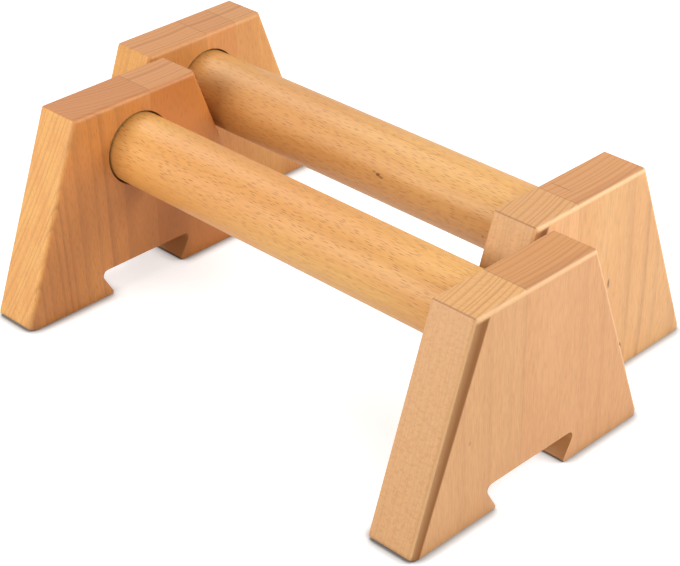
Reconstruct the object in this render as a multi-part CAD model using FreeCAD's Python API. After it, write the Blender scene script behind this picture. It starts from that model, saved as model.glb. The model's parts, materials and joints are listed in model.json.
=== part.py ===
import FreeCAD, Part
import math
import os

# A pair of wooden parallettes, nested. X runs along the bars, Z is up, the floor is z = 0,
# and the origin is on the floor in the middle of the pair. All sizes are in millimetres.

# The turned bar
bar_diameter = 40.0
bar_end_chamfer = 1.0

# The end blocks, each a trapezium of upright board
overall_length = 306.0
block_thickness = 27.0
block_height = 112.0
block_foot_width = 168.0
block_top_width = 84.4

# The blind bore for a bar end
bore_clearance = 0.5
bore_floor_thickness = 8.0
bore_mouth_easing = 0.6
wood_above_bore = 10.5

# The dovetail notch through the underside of a block
notch_mouth_width = 48.2
notch_roof_width = 66.4
notch_height = 15.9

# Roundings of a block: of the edges round its two faces, and of the corners of its outline
right_block_outer_rounding = 2.5
right_block_inner_rounding = 1.2
left_block_outer_rounding = 1.0
left_block_inner_rounding = 3.0
top_corner_rounding = 1.3
foot_corner_rounding = 2.6
notch_roof_rounding = 3.0
notch_tip_rounding = 1.3

# Glue lines of each block, measured in Y from its bar's axis
front_left_glue_line = 9.8
front_right_glue_line = -8.0
rear_left_near_glue_line = 0.5
rear_left_far_glue_line = 22.6
rear_right_glue_line = -10.5

# Room left between the two parallettes where they are nested
nest_block_gap = 5.7
nest_bar_gap = 4.2

# Worked out from the sizes above
bar_radius = bar_diameter / 2
bore_radius = bar_radius + bore_clearance
bore_depth = block_thickness - bore_floor_thickness
bar_length = overall_length - 2 * bore_floor_thickness
bar_axis_height = block_height - wood_above_bore - bore_radius
half_foot = block_foot_width / 2
half_top = block_top_width / 2
slope_run = half_foot - half_top
slope_length = math.hypot(slope_run, block_height)
outer_face = overall_length / 2
inner_face = outer_face - block_thickness

# The rear parallette stands aside by one block, as near as its slopes let the bars come
nest_shift = block_thickness + nest_block_gap
nest_reach = (bar_radius + nest_bar_gap) * slope_length - bar_axis_height * slope_run
nest_spacing = half_foot + nest_reach / block_height

ALONG_BAR = FreeCAD.Vector(1, 0, 0)


def rounded_outline(corners):
    """Closed wire through (point, radius) corners, each corner rounded by a tangent arc."""
    starts = []
    edges = []
    for index, (point, radius) in enumerate(corners):
        towards_last = (corners[index - 1][0] - point).normalize()
        towards_next = (corners[(index + 1) % len(corners)][0] - point).normalize()
        half_angle = towards_last.getAngle(towards_next) / 2
        setback = radius / math.tan(half_angle)
        bisector = (towards_last + towards_next).normalize()
        nearest = point + bisector * (radius / math.sin(half_angle) - radius)
        arc_start = point + towards_last * setback
        arc_end = point + towards_next * setback
        starts.append(arc_start)
        edges.append((Part.Arc(arc_start, nearest, arc_end).toShape(), arc_end))
    wire_edges = []
    for index, (arc, arc_end) in enumerate(edges):
        wire_edges.append(arc)
        next_start = starts[(index + 1) % len(starts)]
        wire_edges.append(Part.LineSegment(arc_end, next_start).toShape())
    return Part.Wire(wire_edges)


def block_outline(x):
    """Side view of a block at x: trapezium with the dovetail notch in its foot."""
    half_mouth = notch_mouth_width / 2
    half_roof = notch_roof_width / 2
    far_side = [
        (half_roof, notch_height, notch_roof_rounding),
        (half_mouth, 0, notch_tip_rounding),
        (half_foot, 0, foot_corner_rounding),
        (half_top, block_height, top_corner_rounding),
    ]
    near_side = [(-y, z, radius) for y, z, radius in reversed(far_side)]
    corners = [(FreeCAD.Vector(x, y, z), radius) for y, z, radius in far_side + near_side]
    return rounded_outline(corners)


def edge_cutter(start, end, along_first, along_second, radius):
    """What rounding takes off the edge from start to end, between two faces that leave it
    along the two given directions. It runs on past both ends."""
    direction = (end - start).normalize()
    overshoot = radius
    corner = start - direction * overshoot
    first = corner + along_first * radius
    second = corner + along_second * radius
    middle = first + along_second * radius
    middle = middle - (along_first + along_second).normalize() * radius
    outside = (along_first + along_second) * -overshoot
    edges = [
        Part.Arc(first, middle, second).toShape(),
        Part.LineSegment(second, second - along_first * overshoot).toShape(),
        Part.LineSegment(second - along_first * overshoot, corner + outside).toShape(),
        Part.LineSegment(corner + outside, first - along_second * overshoot).toShape(),
        Part.LineSegment(first - along_second * overshoot, first).toShape(),
    ]
    length = (end - start).Length + 2 * overshoot
    return Part.Face(Part.Wire(edges)).extrude(direction * length)


def face_rounding_cutters(x, inward, radius):
    """Cutters that round the top and both slopes of a block where they meet its face at x."""
    outline = [
        FreeCAD.Vector(x, half_foot, 0),
        FreeCAD.Vector(x, half_top, block_height),
        FreeCAD.Vector(x, -half_top, block_height),
        FreeCAD.Vector(x, -half_foot, 0),
    ]
    cutters = []
    for start, end in zip(outline, outline[1:]):
        into_face = ALONG_BAR.cross(end - start).normalize()
        cutters.append(edge_cutter(start, end, inward, into_face, radius))
    return cutters


def bore(mouth_x, outward):
    """Blind bore with an eased mouth, cut outward from the inner face of a block."""
    mouth = FreeCAD.Vector(mouth_x, 0, bar_axis_height)
    hole = Part.makeCylinder(bore_radius, bore_depth, mouth, outward)
    mouth_radius = bore_radius + bore_mouth_easing
    easing = Part.makeCone(mouth_radius, bore_radius, bore_mouth_easing, mouth, outward)
    return hole.fuse(easing)


def end_block(side, outer_rounding, inner_rounding):
    """End block in one piece about its own parallette's centre. The side is 1 for the right-hand
    block and -1 for the left-hand one."""
    outward = ALONG_BAR * side
    board = Part.Face(block_outline(side * inner_face)).extrude(outward * block_thickness)
    cutters = face_rounding_cutters(side * outer_face, outward * -1, outer_rounding)
    cutters += face_rounding_cutters(side * inner_face, outward, inner_rounding)
    return board.cut(cutters + [bore(side * inner_face, outward)])


def cut_into_staves(block, glue_lines):
    """Solids of a block between its glue lines, from the near side to the far side."""
    bounds = [-block_foot_width] + glue_lines + [block_foot_width]
    staves = []
    for near, far in zip(bounds, bounds[1:]):
        corner = FreeCAD.Vector(-overall_length, near, -block_height)
        slab = Part.makeBox(2 * overall_length, far - near, 3 * block_height, corner)
        staves.append(block.common(slab).Solids[0])
    return staves


def turned_bar():
    """Bar with chamfered ends that seat on the floors of both bores."""
    end = FreeCAD.Vector(-bar_length / 2, 0, bar_axis_height)
    rod = Part.makeCylinder(bar_radius, bar_length, end, ALONG_BAR)
    rims = [edge for edge in rod.Edges if isinstance(edge.Curve, Part.Circle)]
    return rod.makeChamfer(bar_end_chamfer, rims)


def parallette(name, left_staves, right_staves):
    """Named solids of one parallette about its own centre: a bar and its staves."""
    pieces = {name + "_bar": turned_bar()}
    left_block = end_block(-1, left_block_outer_rounding, left_block_inner_rounding)
    right_block = end_block(1, right_block_outer_rounding, right_block_inner_rounding)
    sides = [
        ("left", left_block, left_staves),
        ("right", right_block, right_staves),
    ]
    for side, block, staves in sides:
        glue_lines = [glue_line for _, glue_line in staves[:-1]]
        solids = cut_into_staves(block, glue_lines)
        for (place, _), solid in zip(staves, solids):
            pieces[name + "_" + side + "_block_" + place + "_stave"] = solid
    return pieces


def main():
    os.makedirs("parts", exist_ok=True)

    # Staves from the near side to the far side, each with the glue line on its far edge
    front = parallette(
        "front",
        [("near", front_left_glue_line), ("far", None)],
        [("near", front_right_glue_line), ("far", None)],
    )
    rear = parallette(
        "rear",
        [("near", rear_left_near_glue_line), ("middle", rear_left_far_glue_line), ("far", None)],
        [("near", rear_right_glue_line), ("far", None)],
    )
    half_step = FreeCAD.Vector(nest_shift / 2, -nest_spacing / 2, 0)
    for pieces, place in ((front, half_step), (rear, half_step * -1)):
        for node, solid in pieces.items():
            solid.translate(place)
            solid.exportStep("parts/" + node + ".step")


main()
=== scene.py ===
import functools
import json
import math

import bmesh
import bpy
from mathutils import Matrix, Vector


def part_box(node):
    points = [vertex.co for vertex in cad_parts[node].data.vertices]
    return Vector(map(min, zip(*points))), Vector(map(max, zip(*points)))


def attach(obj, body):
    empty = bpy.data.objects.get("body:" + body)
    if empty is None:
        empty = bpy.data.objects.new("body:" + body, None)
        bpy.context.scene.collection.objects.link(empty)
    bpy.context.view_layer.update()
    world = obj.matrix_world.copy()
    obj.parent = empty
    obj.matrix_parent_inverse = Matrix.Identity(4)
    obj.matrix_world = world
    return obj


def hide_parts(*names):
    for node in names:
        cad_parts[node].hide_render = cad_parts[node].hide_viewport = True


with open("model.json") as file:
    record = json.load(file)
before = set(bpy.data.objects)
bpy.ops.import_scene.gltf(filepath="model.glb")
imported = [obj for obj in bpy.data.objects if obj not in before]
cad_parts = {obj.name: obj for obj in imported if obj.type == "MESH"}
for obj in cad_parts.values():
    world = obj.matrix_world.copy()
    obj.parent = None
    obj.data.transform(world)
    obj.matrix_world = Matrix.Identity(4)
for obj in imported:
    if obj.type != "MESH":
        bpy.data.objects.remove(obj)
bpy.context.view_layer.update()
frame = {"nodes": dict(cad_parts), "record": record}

# A nested pair of oiled beech parallettes. X runs along the bars, Z is up and the floor is z = 0.
# Sizes are in millimetres and become metres where a mesh, lamp or camera is made.
MM = 0.001

# Sizes of an end block that the frame's boxes don't give
BLOCK_FOOT_WIDTH = 168.0
BLOCK_TOP_WIDTH = 84.4
NOTCH_MOUTH_WIDTH = 48.2
NOTCH_ROOF_WIDTH = 66.4
NOTCH_HEIGHT = 15.9
TOP_CORNER_ROUNDING = 1.3
FOOT_CORNER_ROUNDING = 2.6
NOTCH_ROOF_ROUNDING = 3.0
NOTCH_TIP_ROUNDING = 1.3
OUTER_ROUNDING = {"left": 1.0, "right": 2.5}
INNER_ROUNDING = {"left": 3.0, "right": 1.2}
BORE_CLEARANCE = 0.5
BORE_FLOOR = 8.0
BORE_MOUTH_EASING = 0.6

# Sizes of a bar that its box doesn't give
BAR_END_CHAMFER = 1.0
BAR_SANDING_RIPPLE = 0.1
BAR_RIPPLE_LENGTH = 25.0

# How finely round shapes are divided
FACE_ROUNDING_STEPS = 8
CORNER_STEPS = 6
BORE_STEPS = 48
BAR_SIDES = 96
BAR_RING_SPACING = 1.0
SHARP_ANGLE = math.radians(32)

# Beech as it grows. Rings stray by some years from an even spacing, in waves as long as the uneven years. A
# ray is a thin sheet that reaches out from the pith, so its spacing is given round the log and along the
# grain, and the other patterns have a size out from the pith between those two.
RING_SPACING = 3.0
UNEVEN_YEARS = 14.0
YEARS_ASTRAY = 3.0
RAY_SPACING = (0.6, 9.5)
FLAKE_CELL = (0.9, 4.0, 1.8)
FIBRE_CELL = (0.5, 0.5, 10.0)
STREAK_CELL = (7.0, 7.0, 110.0)
DRIFT_CELL = (45.0, 45.0, 130.0)
SWAY_CELL = (90.0, 90.0, 360.0)
SWAY_REACH = 6.0

# Where each pattern starts to show and where it shows in full: by its noise, by the distance from the
# middle of its cell, by the season in a year that runs from 0 to 1, or by how far a surface faces a way
LATE_SEASON = (0.45, 0.92)
YEAR_END = (1.0, 0.94)
FLECK_EDGE = (0.26, 0.06)
FLECKS_FACING = (0.25, 0.85)
FLAKE_EDGE = (0.5, 0.2)
FLAKES_FACING = (0.6, 0.0)
FIBRE_NOISE = (0.4, 0.75)
STREAK_NOISE = (0.4, 0.7)
DRIFT_NOISE = (0.35, 0.65)
END_GRAIN_FACING = (0.55, 0.9)
SLOPE_FACING = (-0.3, -0.9)

# How strongly the patterns show, as shares
FAINTEST_RING = 0.35
RINGS_ON_END_GRAIN = 0.5
FAINTEST_FLECK = 0.15
FLECKS_ASIDE = 0.1
FLAKES_SHOWN = 0.3
FIBRES_SHOWN = 0.38
STREAKS_SHOWN = 0.5
SLOPE_SHOWN = 0.8

# What saw and glue left, the painted shade in the notch and the painted highlight and shade on the right
# blocks' edges, in the same way. A glue line is measured from its middle and shows less on faces than on
# end grain, a mark is measured in its half sizes and brown years from the outer face.
GLUE_LINE_EDGE = (0.4, 0.15)
GLUE_LINE_SHOWN = (0.08, 0.35)
SAWN_AND_SHADED_NOISE = (0.3, 0.6)
SAWN_AND_SHADED_SHOWN = (0.55, 0.95)
MARK_EDGE = (1.2, 0.5)
BROWN_YEARS_INSIDE = (7.0, 4.0)
BROWN_YEARS_FACING = (0.7, 0.9)
BROWN_YEARS_SHOWN = 0.25
# Painted highlight on the right blocks' outer top edge: where it faces and how strongly it shows
PAINTED_HIGHLIGHT_FACING = {"X": (0.4, 0.75), "Z": (0.05, 0.3)}
PAINTED_HIGHLIGHT_SHOWN = 0.4
# Painted shade on the right blocks' near arris between slope and top: where it faces and how strongly it
# shows
ARRIS_SHADE_FACING = {"Y": (-0.25, -0.45), "Z": (0.45, 0.6)}
ARRIS_SHADE_SHOWN = 0.6

# The surface: how rough it is, and the height and share of the relief that the grain gives it
FACE_ROUGHNESS = 0.48
END_GRAIN_ROUGHNESS = 0.6
# Roughness of the painted dark band on the right blocks' near outer edge
SCORCHED_AND_SHADED_ROUGHNESS = 0.85
GRAIN_RELIEF = 0.06
GRAIN_RELIEF_SHARE = 0.5

# Colours that all pieces share
# Latewood, also used for the painted shade on the right blocks' near arris
LATEWOOD_AND_ARRIS_SHADE = "#8E5630"
FLECK = "#7C4416"
FLAKE = "#B87C48"
FIBRE = "#B5763F"
GLUE = "#5E3A1C"
# Sawn notch faces, partly painted shade in the notch
SAWN_AND_SHADED = "#CB8E52"
DARK_MARK = "#5A3018"
# Dark band on the right blocks' near outer edge: painted shade with scorching
SCORCH_AND_SHADE = "#7C470A"
# Painted highlight on the right blocks' outer top edge
PAINTED_HIGHLIGHT = "#F2CC9A"

# How each piece was cut from its log. The pith is where the log's middle runs past the piece: (x, y) for
# an upright stave and (z, y) for a bar. The lean is the grain's as it rises, in degrees, to the far side.
# Then come the colours of its faces, of their deeper streaks, of its slope and of its end grain, and how
# strongly rays and rings show on its faces.
TIMBER = {
    "front_bar": ((38.5, -27.0), 0, "#DCA95D", "#D2934B", None, "#C98D5D", 0.9, 0.1),
    "rear_bar": ((61.0, 75.0), 0, "#D8A55F", "#CB9251", None, "#C98D5D", 0.75, 0.1),
    "front_left_block_near_stave":
        ((-251.0, -19.0), -3, "#DB9652", "#CC8442", "#DBA65B", "#B67844", 0.5, 0.4),
    "front_left_block_far_stave":
        ((-300.0, -20.0), 2, "#CC823A", "#C27636", "#DBA65B", "#C18652", 0.5, 0.15),
    "front_right_block_near_stave":
        ((-88.0, -120.0), 0, "#DAA46E", "#D69E67", "#CE9D69", "#D19F66", 0.25, 0.12),
    "front_right_block_far_stave":
        ((-94.0, -37.0), 1, "#DDA46F", "#D69B65", "#CE9D69", "#BE8752", 0.25, 0.12),
    "rear_left_block_near_stave":
        ((-330.0, 20.0), 0, "#D09351", "#C98745", "#D9A051", "#C38955", 0.5, 0.2),
    "rear_left_block_middle_stave":
        ((-330.0, 55.0), 0, "#DD9D57", "#D08947", "#D9A051", "#C08655", 0.4, 0.15),
    "rear_left_block_far_stave":
        ((-330.0, 70.0), -2, "#DFA55C", "#D38E4B", "#D9A051", "#C58E5C", 0.4, 0.15),
    "rear_right_block_near_stave":
        ((-117.0, -46.0), 0, "#E8B57D", "#E2AC73", "#C99B61", "#C79662", 0.25, 0.15),
    "rear_right_block_far_stave":
        ((-127.0, 40.0), 3, "#E1AF74", "#DAA268", "#C99B61", "#BF8A59", 0.3, 0.3),
}

# Marks in the wood: middle, half sizes and strength
MARKS = {
    "rear_bar": [
        ((11.2, 20.4, 85.8), (1.7, 1.2, 1.0), 0.85),
        ((13.6, 20.3, 85.0), (1.8, 1.0, 0.7), 0.6),
        ((8.4, 20.3, 86.6), (1.5, 1.0, 0.7), 0.5),
        ((84.2, 20.1, 77.6), (0.9, 0.9, 0.9), 0.6),
    ],
    "front_right_block_near_stave": [((169.35, -84.4, 47.1), (0.6, 0.8, 1.2), 0.3)],
    "rear_right_block_far_stave": [
        ((118.7, 37.4, 112.0), (8.0, 0.3, 2.0), 0.6),
        # A thin dark streak on the outer face, just behind the front right block's far edge
        ((136.6, 56.5, 56.4), (0.6, 0.9, 3.0), 0.7),
    ],
}

# The dark band along the near outer edge of each right-hand block, painted shade of the edge with
# scorching from the cutter: from how far before the edge, where it is darkest, how deep below the slope it
# reaches at the foot and at the top, how it ends, the power by which it deepens and how strongly it shows
SCORCHED_AND_SHADED = ("front_right_block_near_stave", "rear_right_block_near_stave")
SCORCH_AND_SHADE_START = -0.8
SCORCH_AND_SHADE_FULL = 4.5
SCORCH_AND_SHADE_REACH = (4.5, 7.4)
SCORCH_AND_SHADE_FADE = 1.2
SCORCH_AND_SHADE_TOP = 110.0
SCORCH_AND_SHADE_DEEPENING = 0.35
SCORCH_AND_SHADE_SHOWN = 0.9

# The photograph's camera, with its angles in radians
IMAGE_WIDTH_PX = 680
FOCAL_LENGTH_PX = 1969.0
SENSOR_WIDTH = 36.0
CAMERA_PLACE = (639.2, -634.1, 567.9)
CAMERA_TURN = 0.7871
CAMERA_TILT = 1.0274
CAMERA_ROLL = -0.0108
NEAREST_SEEN = 10

# The studio: each softbox has a bearing from +X towards +Y, a height angle, a distance, a size and watts
SOFTBOXES = {
    "left": (250, 26, 800, 450, 4.8),
    "front": (345, 35, 900, 500, 3.6),
    "right": (52, 36, 700, 400, 3.6),
    "back left": (170, 52, 800, 400, 2.3),
}
LIT_POINT = (0, 0, 50)
AMBIENT = 0.08

# The paper sweep that is the floor. Its glow under the object grows to full white between two distances.
FLOOR_REACH = 6000
FLOOR_GLOW = 0.6
FLOOR_FADE = (400, 1200)
CONTACT_SHADOW = 8.0
PAPER = "#DADADA"
# Paper colour right at the feet: a painted contact shadow
PAINTED_CONTACT_SHADOW = "#8C8C8C"
PAPER_ROUGHNESS = 0.9
WHITE = "#FFFFFF"


def linear(hex_colour):
    """Linear RGBA of an sRGB hex colour."""
    channels = [int(hex_colour[start:start + 2], 16) / 255 for start in (1, 3, 5)]
    curve = [c / 12.92 if c <= 0.04045 else ((c + 0.055) / 1.055) ** 2.4 for c in channels]
    return (*curve, 1.0)


def output_of(node):
    """A node's first output in use."""
    return next(entry for entry in node.outputs if entry.enabled)


def add_node(tree, kind, inputs=None, **settings):
    """Adds a node. An input, by its place or its name, gets a value, another node's output or a node,
    which stands for its first output in use."""
    node = tree.nodes.new(kind)
    for setting, value in settings.items():
        setattr(node, setting, value)
    for key, value in (inputs or {}).items():
        if isinstance(key, int):
            socket = node.inputs[key]
        else:
            socket = next(entry for entry in node.inputs if entry.enabled and entry.name == key)
        if isinstance(value, bpy.types.Node):
            value = output_of(value)
        if isinstance(value, bpy.types.NodeSocket):
            tree.links.new(value, socket)
        else:
            socket.default_value = value
    return node


def body_of(node):
    """Name of the body that holds a node."""
    for body, members in frame["record"]["behaviour"]["bodies"].items():
        if node in members:
            return body


def box_mm(node):
    """Low and high corner of a node's box in millimetres."""
    low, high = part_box(node)
    return low / MM, high / MM


def finish_piece(piece, node):
    """Lets a piece stand for its CAD node."""
    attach(piece, body_of(node))
    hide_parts(node)


# The wood


def within(add, most, limits):
    """Share of at most so much, inside limits: each is a value, where the share starts and where it is
    full."""
    share = most
    for value, start, full in limits:
        limit = add("ShaderNodeMapRange", {"Value": value, "From Min": start, "From Max": full})
        share = add("ShaderNodeMath", {0: share, 1: limit}, operation="MULTIPLY")
    return share


def as_grown(add, place, reach):
    """Where a place was in its log, which grew a little crooked: its way across from the pith, how far out
    that is, how far round at the piece's own reach from the pith, and how far along."""
    sway = add("ShaderNodeVectorMath", {0: place, 1: SWAY_CELL}, operation="DIVIDE")
    sway = add("ShaderNodeTexNoise", {"Vector": sway, "Scale": 1.0, "Detail": 2.0})
    half = SWAY_REACH / 2
    sway = add("ShaderNodeVectorMath", {
        0: sway.outputs["Color"], 1: (SWAY_REACH, SWAY_REACH, 0), 2: (-half, -half, 0)},
        operation="MULTIPLY_ADD")
    grown = add("ShaderNodeVectorMath", {0: place, 1: sway}, operation="ADD")
    across = add("ShaderNodeVectorMath", {0: grown, 1: (1, 1, 0)}, operation="MULTIPLY")
    out = add("ShaderNodeVectorMath", {0: across}, operation="LENGTH")
    grown = add("ShaderNodeSeparateXYZ", {0: grown})
    bearing = add("ShaderNodeMath", {0: grown.outputs["Y"], 1: grown.outputs["X"]}, operation="ARCTAN2")
    around = add("ShaderNodeMath", {0: bearing, 1: reach}, operation="MULTIPLY")
    return across, out, around, grown.outputs["Z"]


def year_rings(add, out, end, ring_share):
    """Share of latewood: each year ends in a dark line of its own strength."""
    uneven = add("ShaderNodeMath", {0: out, 1: UNEVEN_YEARS}, operation="DIVIDE")
    uneven = add("ShaderNodeTexNoise", {"W": uneven, "Scale": 1.0, "Detail": 1.0}, noise_dimensions="1D")
    year = add("ShaderNodeMath", {0: out, 1: RING_SPACING}, operation="DIVIDE")
    year = add("ShaderNodeMath", {0: uneven, 1: YEARS_ASTRAY, 2: year}, operation="MULTIPLY_ADD")
    season = add("ShaderNodeMath", {0: year}, operation="FRACT")
    year = add("ShaderNodeMath", {0: year}, operation="FLOOR")
    year = add("ShaderNodeTexWhiteNoise", {"W": year}, noise_dimensions="1D")
    year = add("ShaderNodeMapRange", {"Value": year, "To Min": FAINTEST_RING})
    late = add("ShaderNodeMapRange", {
        "Value": season, "From Min": LATE_SEASON[0], "From Max": LATE_SEASON[1]},
        interpolation_type="SMOOTHSTEP")
    late = add("ShaderNodeMath", {0: late, 1: year}, operation="MULTIPLY")
    strength = add("ShaderNodeMapRange", {"Value": end, "To Min": ring_share, "To Max": RINGS_ON_END_GRAIN})
    late = add("ShaderNodeMath", {0: late, 1: strength}, operation="MULTIPLY")
    return within(add, late, [(season, *YEAR_END)])


def ray_flecks(add, around, along, flat_sawn, ray_share):
    """Share of flecks: dashes of their own strength, where the saw met the rays end on."""
    rays = add("ShaderNodeCombineXYZ", {"X": around, "Y": along})
    rays = add("ShaderNodeVectorMath", {0: rays, 1: (*RAY_SPACING, 1)}, operation="DIVIDE")
    rays = add("ShaderNodeTexVoronoi", {"Vector": rays, "Scale": 1.0}, voronoi_dimensions="2D")
    each = add("ShaderNodeSeparateXYZ", {0: rays.outputs["Color"]})
    each = add("ShaderNodeMapRange", {"Value": each.outputs["X"], "To Min": FAINTEST_FLECK})
    shown = add("ShaderNodeMapRange", {
        "Value": flat_sawn, "From Min": FLECKS_FACING[0], "From Max": FLECKS_FACING[1],
        "To Min": FLECKS_ASIDE * ray_share, "To Max": ray_share})
    each = add("ShaderNodeMath", {0: each, 1: shown}, operation="MULTIPLY")
    return within(add, each, [(rays, *FLECK_EDGE)])


def glue_and_saw(add, axes, end, fibres, seams):
    """Layers that only a stave has: its glue lines, the rough sawn notch with painted shade in it, and
    the glue in the bore.
    """
    layers = []
    on_faces, on_end_grain = GLUE_LINE_SHOWN
    shown = add("ShaderNodeMapRange", {"Value": end, "To Min": on_faces, "To Max": on_end_grain})
    for seam in seams:
        off = add("ShaderNodeMath", {0: axes.outputs["Y"], 1: seam * MM}, operation="SUBTRACT")
        off = add("ShaderNodeMath", {0: off}, operation="ABSOLUTE")
        layers.append((within(add, shown, [(off, *(edge * MM for edge in GLUE_LINE_EDGE))]), GLUE))
    # The notch faces: sawn wood with painted shade of the notch
    sawn = add("ShaderNodeAttribute", attribute_name="sawn")
    speckle = add("ShaderNodeMapRange", {
        "Value": fibres, "From Min": SAWN_AND_SHADED_NOISE[0], "From Max": SAWN_AND_SHADED_NOISE[1],
        "To Min": SAWN_AND_SHADED_SHOWN[0], "To Max": SAWN_AND_SHADED_SHOWN[1]})
    sawn = add("ShaderNodeMath", {0: sawn.outputs["Fac"], 1: speckle}, operation="MULTIPLY")
    glued = add("ShaderNodeAttribute", attribute_name="glued")
    return layers + [(sawn, SAWN_AND_SHADED), (glued.outputs["Fac"], GLUE)]


def marks(add, node, place):
    """Layers of the knots, smears and dots of a piece."""
    layers = []
    for centre, half_sizes, strength in MARKS.get(node, []):
        mark = add("ShaderNodeVectorMath", {0: place, 1: Vector(centre) * MM}, operation="SUBTRACT")
        mark = add("ShaderNodeVectorMath", {0: mark, 1: Vector(half_sizes) * MM}, operation="DIVIDE")
        mark = add("ShaderNodeVectorMath", {0: mark}, operation="LENGTH")
        mark = add("ShaderNodeMapRange", {
            "Value": mark, "From Min": MARK_EDGE[0], "From Max": MARK_EDGE[1], "To Max": strength},
            interpolation_type="SMOOTHSTEP")
        layers.append((mark, DARK_MARK))
    return layers


def right_block_edges(add, node, axes, ways):
    """Layers of a right-hand block: a painted highlight on the outer edge of its top, painted shade on the
    arris between slope and top, and a few narrow years that run brown along the far stave's end grain."""
    layers = []
    if node.endswith("_far_stave"):
        outer = box_mm(node)[1].x
        brown = [(axes.outputs["X"], *((outer - inside) * MM for inside in BROWN_YEARS_INSIDE))]
        brown.append((ways.outputs["Z"], *BROWN_YEARS_FACING))
        layers.append((within(add, BROWN_YEARS_SHOWN, brown), LATEWOOD_AND_ARRIS_SHADE))
    # Painted highlight on the outer edge of the top
    pale = [(ways.outputs[axis], *facing) for axis, facing in PAINTED_HIGHLIGHT_FACING.items()]
    # Painted shade on the near arris between slope and top, in the latewood colour
    dark = [(ways.outputs[axis], *facing) for axis, facing in ARRIS_SHADE_FACING.items()]
    layers.append((within(add, PAINTED_HIGHLIGHT_SHOWN, pale), PAINTED_HIGHLIGHT))
    layers.append((within(add, ARRIS_SHADE_SHOWN, dark), LATEWOOD_AND_ARRIS_SHADE))
    return layers


def scorch_and_shade_band(add, node, place, axes):
    """Share of the dark band along a right-hand block's near outer edge: painted shade of the edge, with
    scorching from the cutter. It starts on the slope, deepens across the edge and ends at a clear line on
    the outer face."""
    low, high = box_mm(node)
    slope_run = (BLOCK_FOOT_WIDTH - BLOCK_TOP_WIDTH) / 2
    slope_length = math.hypot(slope_run, high.z)
    lean = Vector((0, high.z, -slope_run)) / slope_length
    depth = add("ShaderNodeVectorMath", {0: place, 1: lean / MM}, operation="DOT_PRODUCT")
    depth = add("ShaderNodeMath", {0: depth, 1: lean.y * low.y}, operation="SUBTRACT")
    from_outer = add("ShaderNodeMath", {0: axes.outputs["X"], 1: 1 / MM, 2: -high.x},
                     operation="MULTIPLY_ADD")
    over_edge = add("ShaderNodeMath", {0: depth, 1: from_outer}, operation="ADD")
    deepening = add("ShaderNodeMapRange", {
        "Value": over_edge, "From Min": SCORCH_AND_SHADE_START, "From Max": SCORCH_AND_SHADE_FULL})
    deepening = add("ShaderNodeMath", {0: deepening, 1: SCORCH_AND_SHADE_DEEPENING}, operation="POWER")
    deepening = add("ShaderNodeMath", {0: deepening, 1: SCORCH_AND_SHADE_SHOWN}, operation="MULTIPLY")
    at_foot, at_top = SCORCH_AND_SHADE_REACH
    reach = add("ShaderNodeMapRange", {
        "Value": axes.outputs["Z"], "From Max": high.z * MM, "To Min": at_foot, "To Max": at_top})
    past = add("ShaderNodeMath", {0: depth, 1: reach}, operation="SUBTRACT")
    return within(add, deepening, [
        (past, SCORCH_AND_SHADE_FADE, 0.0),
        (axes.outputs["Z"], SCORCH_AND_SHADE_TOP * MM, (SCORCH_AND_SHADE_TOP - SCORCH_AND_SHADE_FADE) * MM),
    ])


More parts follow.
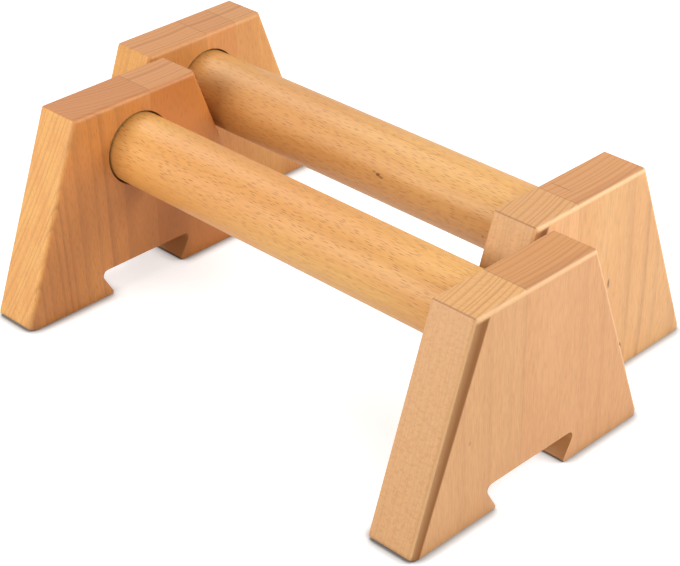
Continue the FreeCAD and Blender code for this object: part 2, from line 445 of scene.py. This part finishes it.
def beech(node, seams):
    """Beech, planed, sanded and oiled: warm tan with a dull sheen. Short brown ray flecks lie along the
    grain, a thin darker line ends each year's ring, and end grain is browner and duller. Fibres and flecks
    are drawn a little coarser than they grow, so that they show."""
    pith, lean, side, deep, slope, end_grain, ray_share, ring_share = TIMBER[node]
    material = bpy.data.materials.new("oiled beech " + node.replace("_", " "))
    material.use_nodes = True
    tree = material.node_tree
    add = functools.partial(add_node, tree)
    low, high = box_mm(node)
    middle = (low + high) / 2
    upright = not node.endswith("_bar")
    turn = (math.radians(lean), 0, 0) if upright else (0, math.pi / 2, 0)
    reach = math.dist(pith, (middle.x if upright else middle.z, middle.y))
    spot = add("ShaderNodeTexCoord")
    axes = add("ShaderNodeSeparateXYZ", {0: spot.outputs["Object"]})
    ways = add("ShaderNodeSeparateXYZ", {0: spot.outputs["Normal"]})

    # Places in millimetres from the pith, with the grain along Z, and then as the log grew
    place = add("ShaderNodeMapping", {
        "Vector": spot.outputs["Object"], "Scale": (1 / MM,) * 3, "Rotation": turn,
        "Location": (-pith[0], -pith[1], 0)})
    across, out, around, along = as_grown(add, place, reach)
    log = add("ShaderNodeCombineXYZ", {"X": around, "Y": out, "Z": along})

    # How far a surface is end grain, and how far it faces the pith
    facing = add("ShaderNodeMapping", {"Vector": spot.outputs["Normal"], "Rotation": turn},
                 vector_type="VECTOR")
    end = add("ShaderNodeSeparateXYZ", {0: facing})
    end = add("ShaderNodeMath", {0: end.outputs["Z"]}, operation="ABSOLUTE")
    end = add("ShaderNodeMapRange", {
        "Value": end, "From Min": END_GRAIN_FACING[0], "From Max": END_GRAIN_FACING[1]},
        interpolation_type="SMOOTHSTEP")
    flat_sawn = add("ShaderNodeVectorMath", {0: across}, operation="NORMALIZE")
    flat_sawn = add("ShaderNodeVectorMath", {0: flat_sawn, 1: facing}, operation="DOT_PRODUCT")
    flat_sawn = add("ShaderNodeMath", {0: flat_sawn}, operation="ABSOLUTE")

    # Rings, flecks, and pale flakes where the saw ran beside the rays
    rings = year_rings(add, out, end, ring_share)
    flecks = ray_flecks(add, around, along, flat_sawn, ray_share)
    flakes = add("ShaderNodeVectorMath", {0: log, 1: FLAKE_CELL}, operation="DIVIDE")
    flakes = add("ShaderNodeTexVoronoi", {"Vector": flakes, "Scale": 1.0})
    flakes = within(add, FLAKES_SHOWN, [(flakes, *FLAKE_EDGE), (flat_sawn, *FLAKES_FACING)])

    # Fibres, streaks and slow drifts of colour
    fibres = add("ShaderNodeVectorMath", {0: log, 1: FIBRE_CELL}, operation="DIVIDE")
    fibres = add("ShaderNodeTexNoise", {"Vector": fibres, "Scale": 1.0, "Detail": 2.0})
    streaks = add("ShaderNodeVectorMath", {0: log, 1: STREAK_CELL}, operation="DIVIDE")
    streaks = add("ShaderNodeTexNoise", {"Vector": streaks, "Scale": 1.0, "Detail": 3.0})
    drift = add("ShaderNodeVectorMath", {0: place, 1: DRIFT_CELL}, operation="DIVIDE")
    drift = add("ShaderNodeTexNoise", {"Vector": drift, "Scale": 1.0, "Detail": 1.0})

    # Layers of colour, each over the ones before it
    layers = [(within(add, 1.0, [(drift, *DRIFT_NOISE)]), deep)]
    if upright:
        layers.append((within(add, SLOPE_SHOWN, [(ways.outputs["Y"], *SLOPE_FACING)]), slope))
    layers += [
        (within(add, STREAKS_SHOWN, [(streaks, *STREAK_NOISE)]), deep),
        (end, end_grain),
        (within(add, FIBRES_SHOWN, [(fibres, *FIBRE_NOISE)]), FIBRE),
        (rings, LATEWOOD_AND_ARRIS_SHADE),
        (flakes, FLAKE),
        (flecks, FLECK),
    ]
    if upright:
        layers += glue_and_saw(add, axes, end, fibres, seams)
    layers += marks(add, node, spot.outputs["Object"])
    # Painted highlight and painted shade on the edges of a right block, and its brown years
    if "_right_block_" in node:
        layers += right_block_edges(add, node, axes, ways)
    roughness = add("ShaderNodeMapRange", {
        "Value": end, "To Min": FACE_ROUGHNESS, "To Max": END_GRAIN_ROUGHNESS})
    # A dark band of painted shade with scorching along the near outer edge, rougher there
    if node in SCORCHED_AND_SHADED:
        scorch_and_shade_share = scorch_and_shade_band(add, node, spot.outputs["Object"], axes)
        layers.append((scorch_and_shade_share, SCORCH_AND_SHADE))
        roughness = add("ShaderNodeMapRange", {
            "Value": scorch_and_shade_share, "To Min": roughness, "To Max": SCORCHED_AND_SHADED_ROUGHNESS})
    colour = linear(side)
    for share, shade in layers:
        colour = add("ShaderNodeMix", {"Factor": share, "A": colour, "B": linear(shade)}, data_type="RGBA")

    relief = add("ShaderNodeMath", {0: flecks, 1: -1.0, 2: fibres}, operation="MULTIPLY_ADD")
    relief = add("ShaderNodeBump", {
        "Height": relief, "Distance": GRAIN_RELIEF * MM, "Strength": GRAIN_RELIEF_SHARE})
    shader = tree.nodes["Principled BSDF"]
    for socket, source in (("Base Color", colour), ("Roughness", roughness), ("Normal", relief)):
        tree.links.new(output_of(source), shader.inputs[socket])
    return material


# The turned bars


def bar_tree():
    """Round bar along X: a line, swept by a circle that narrows at the chamfered ends and wanders a
    little, as sanding leaves it."""
    tree = bpy.data.node_groups.new("turned bar", "GeometryNodeTree")
    add = functools.partial(add_node, tree)
    face = tree.interface
    face.new_socket("Geometry", in_out="OUTPUT", socket_type="NodeSocketGeometry")
    for name in ("Length", "Radius", "Chamfer", "Ring spacing", "Ripple"):
        face.new_socket(name, in_out="INPUT", socket_type="NodeSocketFloat")
    face.new_socket("Middle", in_out="INPUT", socket_type="NodeSocketVector")
    face.new_socket("Sides", in_out="INPUT", socket_type="NodeSocketInt")
    face.new_socket("Wood", in_out="INPUT", socket_type="NodeSocketMaterial")
    given = add("NodeGroupInput").outputs
    half = add("ShaderNodeMath", {0: given["Length"], 1: 0.5}, operation="MULTIPLY")
    minus_half = add("ShaderNodeMath", {0: given["Length"], 1: -0.5}, operation="MULTIPLY")
    start = add("ShaderNodeCombineXYZ", {"X": minus_half})
    end = add("ShaderNodeCombineXYZ", {"X": half})
    line = add("GeometryNodeCurvePrimitiveLine", {"Start": start, "End": end})
    rings = add("GeometryNodeResampleCurve", {"Curve": line, "Length": given["Ring spacing"]},
                mode="LENGTH")
    circle = add("GeometryNodeCurvePrimitiveCircle",
                 {"Resolution": given["Sides"], "Radius": given["Radius"]})
    along = add("ShaderNodeSeparateXYZ", {0: add("GeometryNodeInputPosition")})

    # Ripple along the bar, less what the chamfer takes off near an end
    wander = add("ShaderNodeTexNoise", {"W": along, "Scale": 1 / (BAR_RIPPLE_LENGTH * MM), "Detail": 1.0},
                 noise_dimensions="1D")
    ripple = add("ShaderNodeMath", {0: wander, 1: 0.5}, operation="SUBTRACT")
    ripple = add("ShaderNodeMath", {0: ripple, 1: given["Ripple"]}, operation="MULTIPLY")
    from_end = add("ShaderNodeMath", {0: along}, operation="ABSOLUTE")
    from_end = add("ShaderNodeMath", {0: half, 1: from_end}, operation="SUBTRACT")
    cut = add("ShaderNodeMath", {0: given["Chamfer"], 1: from_end}, operation="SUBTRACT")
    cut = add("ShaderNodeMath", {0: cut, 1: 0.0}, operation="MAXIMUM")
    change = add("ShaderNodeMath", {0: ripple, 1: cut}, operation="SUBTRACT")
    change = add("ShaderNodeMath", {0: change, 1: given["Radius"]}, operation="DIVIDE")
    scale = add("ShaderNodeMath", {0: change, 1: 1.0}, operation="ADD")

    rod = add("GeometryNodeCurveToMesh",
              {"Curve": rings, "Profile Curve": circle, "Scale": scale, "Fill Caps": True})
    rod = add("GeometryNodeTransform", {"Geometry": rod, "Translation": given["Middle"]})
    rod = add("GeometryNodeRealizeInstances", {"Geometry": rod})
    rod = add("GeometryNodeSetMaterial", {"Geometry": rod, "Material": given["Wood"]})
    add("NodeGroupOutput", {"Geometry": rod})
    return tree


def plain_mesh(holder, name):
    """Mesh object of what a holder's modifiers make; the holder goes."""
    view = bpy.context.evaluated_depsgraph_get()
    mesh = bpy.data.meshes.new_from_object(holder.evaluated_get(view), depsgraph=view)
    bpy.data.objects.remove(holder)
    mesh.name = name
    piece = bpy.data.objects.new(name, mesh)
    bpy.context.scene.collection.objects.link(piece)
    return piece


def turned_bar(tree, node):
    """One bar, turned to the size of its box."""
    low, high = box_mm(node)
    sizes = {
        "Length": (high.x - low.x) * MM,
        "Radius": (high.z - low.z) / 2 * MM,
        "Chamfer": BAR_END_CHAMFER * MM,
        "Ring spacing": BAR_RING_SPACING * MM,
        "Ripple": BAR_SANDING_RIPPLE * MM,
        "Middle": (low + high) / 2 * MM,
        "Sides": BAR_SIDES,
        "Wood": beech(node, []),
    }
    holder = bpy.data.objects.new(node + "_rule", bpy.data.meshes.new(node + "_rule"))
    bpy.context.scene.collection.objects.link(holder)
    modifier = holder.modifiers.new("turning", "NODES")
    modifier.node_group = tree
    for socket in tree.interface.items_tree:
        if socket.in_out == "INPUT":
            modifier[socket.identifier] = sizes[socket.name]
    piece = plain_mesh(holder, "turned_" + node)
    piece.data.shade_smooth()
    piece.data.set_sharp_from_angle(angle=SHARP_ANGLE)
    finish_piece(piece, node)


# The staves of the end blocks


def corner_arc(before, corner, after, radius):
    """Points of the arc that rounds a corner."""
    towards_before = (before - corner).normalized()
    towards_after = (after - corner).normalized()
    half_angle = towards_before.angle(towards_after) / 2
    start = corner + towards_before * radius / math.tan(half_angle)
    end = corner + towards_after * radius / math.tan(half_angle)
    centre = corner + (towards_before + towards_after).normalized() * radius / math.sin(half_angle)
    first = start - centre
    turn = first.angle_signed(end - centre)
    points = []
    for step in range(CORNER_STEPS + 1):
        points.append(centre + Matrix.Rotation(-turn * step / CORNER_STEPS, 2) @ first)
    return points


def end_section(side, glue_line, height, inset):
    """Side view of a stave that reaches the far (1) or near (-1) end of its block, from the glue line
    round by the top, the slope, the foot and the notch, with top and slope drawn in by the inset."""
    half_foot = BLOCK_FOOT_WIDTH / 2
    half_top = BLOCK_TOP_WIDTH / 2
    slope_run = (half_foot - half_top) / height
    slope_inset = inset * math.hypot(1, slope_run)
    top = height - inset
    corners = [
        (half_foot - slope_run * top - slope_inset, top, TOP_CORNER_ROUNDING),
        (half_foot - slope_inset, 0, FOOT_CORNER_ROUNDING),
        (NOTCH_MOUTH_WIDTH / 2, 0, NOTCH_TIP_ROUNDING),
        (NOTCH_ROOF_WIDTH / 2, NOTCH_HEIGHT, NOTCH_ROOF_ROUNDING),
    ]
    start = Vector((glue_line, top))
    end = Vector((glue_line, NOTCH_HEIGHT))
    path = [start] + [Vector((side * y, z)) for y, z, _ in corners] + [end]
    points = [start]
    for index, (_, _, radius) in enumerate(corners, 1):
        points += corner_arc(path[index - 1], path[index], path[index + 1], radius)
    return points + [end]


def middle_section(near, far, height, inset):
    """Side view of a stave between two glue lines."""
    top = height - inset
    return [Vector(point) for point in ((near, top), (far, top), (far, NOTCH_HEIGHT), (near, NOTCH_HEIGHT))]


def face_steps(face, inward, rounding):
    """(x, inset) steps over the rounding of a block's face, from the face on."""
    steps = []
    for step in range(FACE_ROUNDING_STEPS + 1):
        angle = math.pi / 2 * step / FACE_ROUNDING_STEPS
        steps.append((face + inward * rounding * (1 - math.cos(angle)), rounding * (1 - math.sin(angle))))
    return steps


def bore_arcs(stave_mesh, glue_line, side, bore_radius, mouth, inward, axis_y, axis_z, depth):
    """Rows of vertices over the part of a blind bore that lies beside a glue line."""
    rows = []
    rims = [
        (mouth, bore_radius + BORE_MOUTH_EASING),
        (mouth + inward * BORE_MOUTH_EASING, bore_radius),
        (mouth + inward * depth, bore_radius),
    ]
    for x, radius in rims:
        reach = math.acos(glue_line * side / radius)
        row = []
        for step in range(BORE_STEPS + 1):
            angle = reach * (2 * step / BORE_STEPS - 1)
            place = (x, axis_y + side * radius * math.cos(angle), axis_z + radius * math.sin(angle))
            row.append(stave_mesh.verts.new(Vector(place) * MM))
        rows.append(row)
    return rows


def stave(node):
    """One stave of an end block, from its own box, its bar's box and the block sizes."""
    parallette, block_side, _, place, _ = node.split("_")
    bar_low, bar_high = box_mm(parallette + "_bar")
    axis = (bar_low + bar_high) / 2
    low, high = box_mm(node)
    near, far = low.y - axis.y, high.y - axis.y
    outward = 1 if block_side == "right" else -1
    outer, inner = (high.x, low.x) if block_side == "right" else (low.x, high.x)
    height = high.z
    bore_radius = (bar_high.z - bar_low.z) / 2 + BORE_CLEARANCE

    def section(inset):
        if place == "near":
            return end_section(-1, far, height, inset)
        if place == "far":
            return end_section(1, near, height, inset)
        return middle_section(near, far, height, inset)

    steps = face_steps(outer, -outward, OUTER_ROUNDING[block_side])
    steps += reversed(face_steps(inner, outward, INNER_ROUNDING[block_side]))
    mesh = bmesh.new()
    sawn = mesh.faces.layers.float.new("sawn")
    glued = mesh.faces.layers.float.new("glued")
    rings = []
    for x, inset in steps:
        points = [Vector((x, axis.y + y, z)) * MM for y, z in section(inset)]
        rings.append([mesh.verts.new(point) for point in points])
    count = len(rings[0])
    glue_edges = [(1, 2), (3, 0)] if place == "middle" else [(count - 1, 0)]
    first_sawn = 2 if place == "middle" else 3 * (CORNER_STEPS + 1)
    for ring, following in zip(rings, rings[1:]):
        for index in range(count):
            after = (index + 1) % count
            if (index, after) not in glue_edges:
                face = mesh.faces.new((ring[index], ring[after], following[after], following[index]))
                face[sawn] = float(index >= first_sawn)
    mesh.faces.new(rings[0])

    # The bore opens the last glue face and the inner face
    glue_line = far if place == "near" else near
    side = -1 if place == "near" else 1
    bored = abs(glue_line) < bore_radius
    arcs = []
    if bored:
        depth = abs(outer - inner) - BORE_FLOOR
        arcs = bore_arcs(mesh, glue_line, side, bore_radius, inner, outward, axis.y, axis.z, depth)
        for row, following in zip(arcs, arcs[1:]):
            for first, second, third, fourth in zip(row, row[1:], following[1:], following):
                mesh.faces.new((first, second, third, fourth))[glued] = 1.0
        mesh.faces.new(arcs[-1])[glued] = 1.0
    mesh.faces.new(rings[-1] + (arcs[0] if bored else []))
    for start, end in glue_edges:
        outline = [ring[start] for ring in rings]
        if bored and end == 0:
            outline += [row[0] for row in arcs] + [row[-1] for row in reversed(arcs)]
        outline += [ring[end] for ring in reversed(rings)]
        mesh.faces.new(outline)
    bmesh.ops.recalc_face_normals(mesh, faces=mesh.faces)

    data = bpy.data.meshes.new(node)
    mesh.to_mesh(data)
    mesh.free()
    seams = {"near": [high.y], "middle": [low.y, high.y], "far": [low.y]}
    data.materials.append(beech(node, seams[place]))
    data.shade_smooth()
    data.set_sharp_from_angle(angle=SHARP_ANGLE)
    holder = bpy.data.objects.new(node + "_rule", data)
    bpy.context.scene.collection.objects.link(holder)
    even = holder.modifiers.new("even shading", "WEIGHTED_NORMAL")
    even.keep_sharp = True
    piece = plain_mesh(holder, "sanded_" + node)
    finish_piece(piece, node)


# Floor, light and camera


def backdrop_rays(tree):
    """1 for the rays that show the backdrop: from the camera, in gloss and through glass."""
    path = add_node(tree, "ShaderNodeLightPath")
    rays = path.outputs["Is Camera Ray"]
    for kind in ("Is Glossy Ray", "Is Transmission Ray"):
        rays = add_node(tree, "ShaderNodeMath", {0: rays, 1: path.outputs[kind]}, operation="MAXIMUM")
    return rays


def floor():
    """White paper sweep: matt, lit by the lamps and shown white, also where their light ends, with a soft
    shadow under the object and a narrow painted contact shadow where it stands."""
    mesh = bpy.data.meshes.new("floor")
    reach = FLOOR_REACH * MM
    corners = [(-reach, -reach, 0), (reach, -reach, 0), (reach, reach, 0), (-reach, reach, 0)]
    mesh.from_pydata(corners, [], [(0, 1, 2, 3)])
    piece = bpy.data.objects.new("floor", mesh)
    bpy.context.scene.collection.objects.link(piece)
    material = bpy.data.materials.new("white paper sweep")
    material.use_nodes = True
    tree = material.node_tree
    add = functools.partial(add_node, tree)
    shader = tree.nodes["Principled BSDF"]
    shader.inputs["Roughness"].default_value = PAPER_ROUGHNESS
    shader.inputs["Emission Color"].default_value = linear(WHITE)
    far = add("ShaderNodeVectorMath", {0: add("ShaderNodeTexCoord").outputs["Object"]}, operation="LENGTH")
    glow = add("ShaderNodeMapRange", {
        "Value": far, "From Min": FLOOR_FADE[0] * MM, "From Max": FLOOR_FADE[1] * MM, "To Min": FLOOR_GLOW})

    # Right at a foot, half of the air over the paper is shut off; there its colour and glow make a painted
    # contact shadow
    open_air = add("ShaderNodeAmbientOcclusion", {"Distance": CONTACT_SHADOW * MM})
    open_air = add("ShaderNodeMapRange", {"Value": open_air.outputs["AO"], "From Min": 0.5})
    glow = add("ShaderNodeMath", {0: glow, 1: open_air}, operation="MULTIPLY")
    glow = add("ShaderNodeMath", {0: glow, 1: backdrop_rays(tree)}, operation="MULTIPLY")
    paper = add("ShaderNodeMix", {"Factor": open_air, "A": linear(PAINTED_CONTACT_SHADOW), "B": linear(PAPER)},
                data_type="RGBA")
    tree.links.new(output_of(paper), shader.inputs["Base Color"])
    tree.links.new(output_of(glow), shader.inputs["Emission Strength"])
    mesh.materials.append(material)


def soft_box(name, bearing, height, distance, size, watts):
    """Square lamp that faces the lit point and isn't seen itself."""
    lamp = bpy.data.lights.new(name + " softbox", "AREA")
    lamp.shape = "SQUARE"
    lamp.size = size * MM
    lamp.energy = watts
    way = Matrix.Rotation(math.radians(bearing), 3, "Z") @ Matrix.Rotation(-math.radians(height), 3, "Y")
    way = way @ Vector((1, 0, 0))
    box = bpy.data.objects.new(name + " softbox", lamp)
    box.location = (Vector(LIT_POINT) + way * distance) * MM
    box.rotation_euler = way.to_track_quat("Z", "Y").to_euler()
    box.visible_camera = False
    bpy.context.scene.collection.objects.link(box)


def studio():
    """White surroundings, which give the object little light, and the softboxes."""
    scene = bpy.context.scene
    scene.view_settings.view_transform = "Standard"
    world = bpy.data.worlds.new("studio")
    world.use_nodes = True
    scene.world = world
    tree = world.node_tree
    background = tree.nodes["Background"]
    background.inputs["Color"].default_value = linear(WHITE)
    strength = add_node(tree, "ShaderNodeMapRange", {"Value": backdrop_rays(tree), "To Min": AMBIENT})
    tree.links.new(output_of(strength), background.inputs["Strength"])
    for name, settings in SOFTBOXES.items():
        soft_box(name, *settings)


def camera():
    """The camera that took the photograph, as it was fitted."""
    data = bpy.data.cameras.new("camera")
    data.sensor_width = SENSOR_WIDTH
    data.lens = FOCAL_LENGTH_PX * SENSOR_WIDTH / IMAGE_WIDTH_PX
    data.clip_start = NEAREST_SEEN * MM
    view = bpy.data.objects.new("camera", data)
    turn = Matrix.Rotation(CAMERA_TURN, 4, "Z") @ Matrix.Rotation(CAMERA_TILT, 4, "X")
    turn = turn @ Matrix.Rotation(CAMERA_ROLL, 4, "Z")
    view.matrix_world = Matrix.Translation(Vector(CAMERA_PLACE) * MM) @ turn
    bpy.context.scene.collection.objects.link(view)
    bpy.context.scene.camera = view


turning = bar_tree()
for node in sorted(frame["nodes"]):
    if node.endswith("_bar"):
        turned_bar(turning, node)
    else:
        stave(node)
floor()
studio()
camera()
